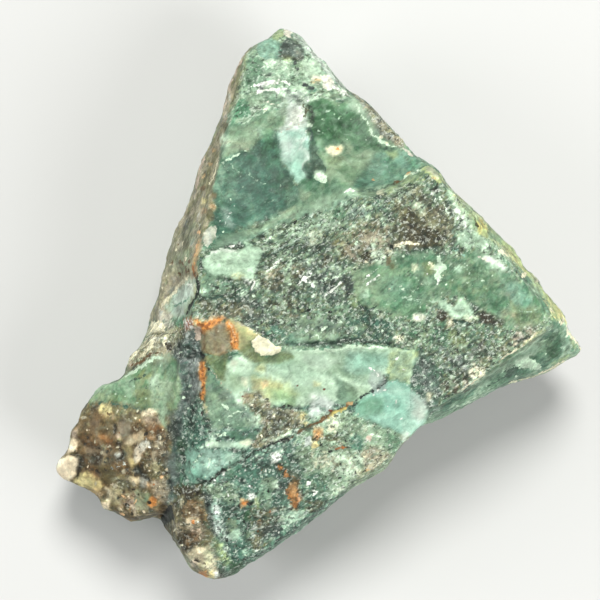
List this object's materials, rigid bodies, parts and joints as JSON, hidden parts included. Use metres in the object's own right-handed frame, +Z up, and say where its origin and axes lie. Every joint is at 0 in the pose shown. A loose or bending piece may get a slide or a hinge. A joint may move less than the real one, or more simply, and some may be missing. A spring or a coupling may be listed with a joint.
{
  "type": "raw jade",
  "caption": "Rough wedge-shaped piece of massive green jade with broken faces, lying on its flat back.",
  "frame": {"origin": "middle of the bounding box, on the surface that the stone rests on", "axes": "+Z up, out of the broad face seen in the picture; +Y towards the narrow apex, up in the picture; +X to the right in the picture"},
  "size_m": [0.0698, 0.0734, 0.0321],
  "materials": {
    "jade": "rough fracture, dull and granular with waxy, slightly translucent scars"
  },
  "bodies": {
    "root": {"raw_jade": "jade"}
  },
  "joints": []
}
